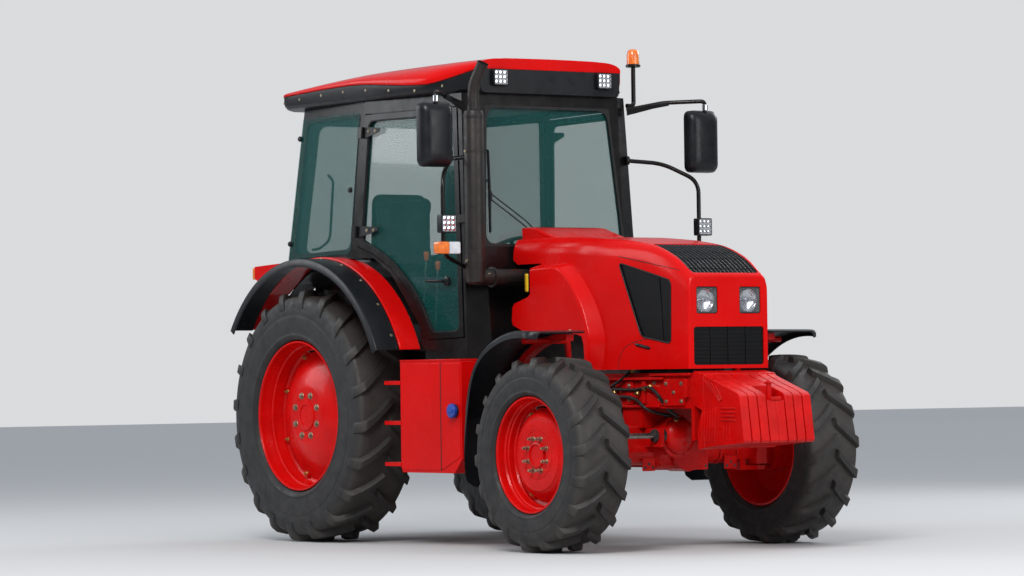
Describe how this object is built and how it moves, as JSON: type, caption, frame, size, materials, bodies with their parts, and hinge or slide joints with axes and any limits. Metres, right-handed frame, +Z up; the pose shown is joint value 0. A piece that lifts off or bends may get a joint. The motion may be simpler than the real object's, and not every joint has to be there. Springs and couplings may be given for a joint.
{
  "type": "farm tractor",
  "caption": "Farm tractor with glazed cab, tilting red hood, lugged tyres, front ballast weights, side exhaust, steering front axle and rear three-point hitch",
  "frame": {"origin": "ground level, under the middle of the whole tractor's box", "axes": "+X is forward, toward the ballast; +Y is the tractor's left; +Z is up"},
  "size_m": [4.4128, 2.17, 2.971],
  "materials": {
    "body_red": "gloss paint",
    "wheel_red": "gloss paint, dusty",
    "chassis_red": "gloss paint on castings",
    "tyre_rubber": "matte, dusty",
    "dark_iron": "painted dark casting",
    "steel": "bare steel",
    "black_plastic": "satin moulded",
    "black_mesh": "matte perforated sheet",
    "lamp_lens": "clear lens",
    "cab_black": "satin black paint",
    "tinted_glass": "green tinted pane",
    "dark_plastic": "grained",
    "cloth": "woven cloth",
    "exhaust_steel": "heat-browned",
    "amber_lens": "amber lens"
  },
  "bodies": {
    "chassis": {"engine_block": "dark_iron", "transmission_housing": "dark_iron", "front_frame": "chassis_red", "ballast_weights": "chassis_red", "front_axle_beam": "chassis_red", "steering_cylinder": "dark_iron", "cab_frame": "cab_black", "cab_glass": "tinted_glass", "cab_base": "cab_black", "rear_mudguards": "body_red", "mudguard_extensions": "black_plastic", "roof_cap": "body_red", "roof_band": "black_plastic", "dashboard": "dark_plastic", "chair_pedestal": "cab_black", "chair_cushions": "cloth", "levers": "cab_black", "exhaust_stack": "exhaust_steel", "handrails": "cab_black", "mirror_heads": "black_plastic", "work_lamps": "lamp_lens", "signal_lamps": "amber_lens", "beacon": "amber_lens", "side_boxes": "body_red", "rear_coupling": "dark_iron", "top_link": "steel"},
    "hood": {"hood_shell": "body_red", "grille_panels": "black_mesh", "headlights": "lamp_lens"},
    "door_left": {"door_left_frame": "cab_black", "door_left_glass": "tinted_glass"},
    "door_right": {"door_right_frame": "cab_black", "door_right_glass": "tinted_glass"},
    "rear_left_wheel": {"rear_left_rim": "wheel_red", "rear_left_tyre": "tyre_rubber"},
    "rear_right_wheel": {"rear_right_rim": "wheel_red", "rear_right_tyre": "tyre_rubber"},
    "left_knuckle": {"knuckle_left": "chassis_red", "front_mudguard_left": "black_plastic"},
    "right_knuckle": {"knuckle_right": "chassis_red", "front_mudguard_right": "black_plastic"},
    "front_left_wheel": {"front_left_rim": "wheel_red", "front_left_tyre": "tyre_rubber"},
    "front_right_wheel": {"front_right_rim": "wheel_red", "front_right_tyre": "tyre_rubber"},
    "steering_piston": {"steering_rod": "steel"},
    "hand_wheel": {"steering_wheel": "dark_plastic"},
    "lift_shaft": {"lift_arms": "dark_iron"},
    "lift_links": {"lift_rods": "steel"},
    "draft_links": {"lower_links": "dark_iron"}
  },
  "joints": [
    {"name": "rear_left_roll", "type": "hinge", "parent": "chassis", "child": "rear_left_wheel", "pos_m": [-1.266, 0.776, 0.768], "axis": [0, 1, 0], "continuous": true},
    {"name": "rear_right_roll", "type": "hinge", "parent": "chassis", "child": "rear_right_wheel", "pos_m": [-1.266, -0.776, 0.768], "axis": [0, 1, 0], "continuous": true},
    {"name": "left_steer", "type": "hinge", "parent": "chassis", "child": "left_knuckle", "pos_m": [1.184, 0.66, 0.55], "axis": [0, 0, 1], "range_deg": [-30, 30]},
    {"name": "right_steer", "type": "hinge", "parent": "chassis", "child": "right_knuckle", "pos_m": [1.184, -0.66, 0.55], "axis": [0, 0, 1], "range_deg": [-30, 30]},
    {"name": "front_left_roll", "type": "hinge", "parent": "left_knuckle", "child": "front_left_wheel", "pos_m": [1.184, 0.82, 0.55], "axis": [0, 1, 0], "continuous": true},
    {"name": "front_right_roll", "type": "hinge", "parent": "right_knuckle", "child": "front_right_wheel", "pos_m": [1.184, -0.82, 0.55], "axis": [0, 1, 0], "continuous": true},
    {"name": "piston_slide", "type": "slide", "parent": "chassis", "child": "steering_piston", "axis": [0, 1, 0], "range_m": [-0.0891, 0.0891]},
    {"name": "hand_wheel_turn", "type": "hinge", "parent": "chassis", "child": "hand_wheel", "pos_m": [-0.356, 0, 1.74], "axis": [-0.4819, 0, 0.8762], "range_deg": [-720, 720]},
    {"name": "hood_tilt", "type": "hinge", "parent": "chassis", "child": "hood", "pos_m": [0.164, 0, 1.835], "axis": [0, -1, 0], "range_deg": [0, 50]},
    {"name": "left_door_swing", "type": "hinge", "parent": "chassis", "child": "door_left", "pos_m": [-0.93981, 0.73725, 1.88063], "axis": [0.0706, -0.0421, 0.9966], "range_deg": [0, 70]},
    {"name": "right_door_swing", "type": "hinge", "parent": "chassis", "child": "door_right", "pos_m": [-0.93981, -0.73725, 1.88063], "axis": [-0.0706, -0.0421, -0.9966], "range_deg": [0, 70]},
    {"name": "lift_shaft_turn", "type": "hinge", "parent": "chassis", "child": "lift_shaft", "pos_m": [-1.556, 0, 1.12], "axis": [0, 1, 0], "range_deg": [-30, 35]},
    {"name": "lift_links_turn", "type": "hinge", "parent": "lift_shaft", "child": "lift_links", "pos_m": [-1.891, 0, 1.15], "axis": [0, 1, 0], "range_deg": [-29, 24.9]},
    {"name": "draft_links_turn", "type": "hinge", "parent": "chassis", "child": "draft_links", "pos_m": [-1.326, 0, 0.56], "axis": [0, 1, 0], "range_deg": [-16.9, 19.7]}
  ],
  "couplings": [
    {"joint": "right_steer", "follows": "left_steer", "ratio": 1},
    {"joint": "piston_slide", "follows": "left_steer", "m_per_rad": 0.17},
    {"joint": "lift_links_turn", "follows": "lift_shaft_turn", "ratio": -0.82},
    {"joint": "draft_links_turn", "follows": "lift_shaft_turn", "ratio": 0.56}
  ]
}
